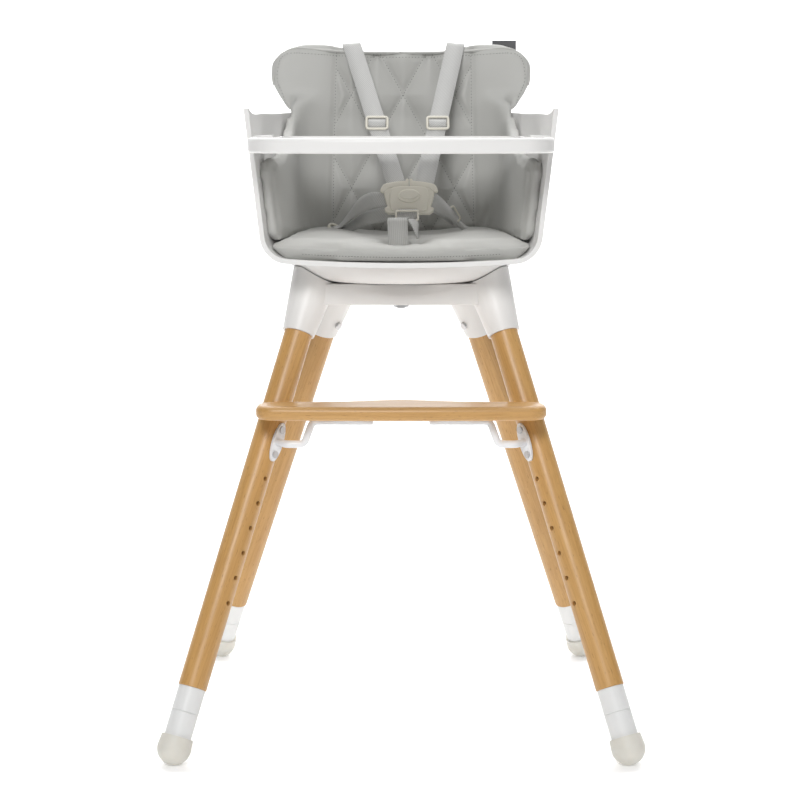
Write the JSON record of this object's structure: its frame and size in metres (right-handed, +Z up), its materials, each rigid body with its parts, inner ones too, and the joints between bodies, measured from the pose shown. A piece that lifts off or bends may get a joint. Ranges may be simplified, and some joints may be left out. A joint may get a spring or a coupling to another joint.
{
  "type": "baby high chair",
  "caption": "High chair: splayed beech legs in a white base, swivelling padded bucket seat with harness, front tray and height-adjustable footrest.",
  "frame": {"origin": "on the floor, at the middle of the rectangle that the feet cover", "axes": "+Z up; the chair's front faces -Y; +X is to the right as seen from the front"},
  "size_m": [0.614, 0.603, 0.9115],
  "materials": {
    "shell_white": "satin moulded plastic",
    "base_white": "satin moulded plastic",
    "leg_end_white": "satin moulded plastic",
    "beech": "clear-lacquered beech",
    "foot_silicone": "translucent off-white silicone",
    "steel": "zinc plated",
    "insert_brass": "turned",
    "cushion_grey": "smooth coated fabric",
    "tag_grey": "woven",
    "webbing_grey": "diagonal-weave webbing",
    "buckle_beige": "satin acetal",
    "bracket_white": "powder coated",
    "glide_plastic": "acetal"
  },
  "bodies": {
    "base": {"leg_front_left": "beech", "leg_front_right": "beech", "leg_rear_left": "beech", "leg_rear_right": "beech", "leg_sleeve_front_left": "leg_end_white", "leg_sleeve_front_right": "leg_end_white", "leg_sleeve_rear_left": "leg_end_white", "leg_sleeve_rear_right": "leg_end_white", "leg_end_front_left": "leg_end_white", "leg_end_front_right": "leg_end_white", "leg_end_rear_left": "leg_end_white", "leg_end_rear_right": "leg_end_white", "foot_cap_front_left": "foot_silicone", "foot_cap_front_right": "foot_silicone", "foot_cap_rear_left": "foot_silicone", "foot_cap_rear_right": "foot_silicone", "base_frame": "base_white", "socket_bolts": "steel", "leg_thread_inserts": "insert_brass", "swivel_glide_ring": "glide_plastic", "swivel_bolt": "steel", "swivel_washers": "steel", "swivel_lock_nut": "steel"},
    "seat": {"seat_shell": "shell_white", "swivel_disc": "shell_white", "shell_screws": "steel", "back_cushion": "cushion_grey", "seat_cushion": "cushion_grey", "cushion_tag": "tag_grey", "crotch_strap": "webbing_grey", "crotch_strap_bar": "steel", "crotch_slider": "buckle_beige", "waist_slider_right": "buckle_beige", "buckle_front_cover": "buckle_beige", "buckle_back_cover": "buckle_beige", "buckle_spring": "steel", "shoulder_strap_left": "webbing_grey", "shoulder_anchor_left": "buckle_beige", "waist_strap_left": "webbing_grey", "waist_anchor_left": "buckle_beige", "buckle_tongue_left": "buckle_beige", "tray_rail_left": "shell_white", "shoulder_strap_right": "webbing_grey", "shoulder_anchor_right": "buckle_beige", "waist_strap_right": "webbing_grey", "waist_anchor_right": "buckle_beige", "buckle_tongue_right": "buckle_beige", "tray_rail_right": "shell_white"},
    "tray": {"tray": "shell_white"},
    "buckle_button": {"buckle_button": "buckle_beige"},
    "footrest": {"footrest_board": "beech"},
    "shoulder_adjuster_left": {"shoulder_adjuster_left": "buckle_beige"},
    "footrest_bracket_left": {"footrest_bracket_left": "bracket_white", "bracket_screws_left": "steel"},
    "shoulder_adjuster_right": {"shoulder_adjuster_right": "buckle_beige"},
    "footrest_bracket_right": {"footrest_bracket_right": "bracket_white", "bracket_screws_right": "steel"}
  },
  "joints": [
    {"name": "seat_swivel", "type": "hinge", "parent": "base", "child": "seat", "pos_m": [0, -0.01, 0.6], "axis": [0, 0, 1], "continuous": true},
    {"name": "tray_slide", "type": "slide", "parent": "seat", "child": "tray", "axis": [0, -1, 0], "range_m": [0, 0.055]},
    {"name": "buckle_press", "type": "slide", "parent": "seat", "child": "buckle_button", "axis": [0, 0.9063, -0.4226], "range_m": [0, 0.0025], "stiffness_N_per_m": 300},
    {"name": "footrest_height", "type": "slide", "parent": "base", "child": "footrest", "axis": [0, -0.3521, -0.9359], "range_m": [0, 0.1936]},
    {"name": "shoulder_adjust_left", "type": "slide", "parent": "seat", "child": "shoulder_adjuster_left", "axis": [-0.2565, 0.5709, 0.7799], "range_m": [-0.04, 0.07]},
    {"name": "bracket_spread_left", "type": "slide", "parent": "footrest", "child": "footrest_bracket_left", "axis": [-1, 0, 0], "range_m": [0, 0.0543]},
    {"name": "shoulder_adjust_right", "type": "slide", "parent": "seat", "child": "shoulder_adjuster_right", "axis": [0.1891, 0.5801, 0.7923], "range_m": [-0.04, 0.07]},
    {"name": "bracket_spread_right", "type": "slide", "parent": "footrest", "child": "footrest_bracket_right", "axis": [1, 0, 0], "range_m": [0, 0.0543]}
  ],
  "couplings": [
    {"joint": "bracket_spread_left", "follows": "footrest_height", "ratio": 0.27893},
    {"joint": "bracket_spread_right", "follows": "footrest_height", "ratio": 0.27893}
  ]
}
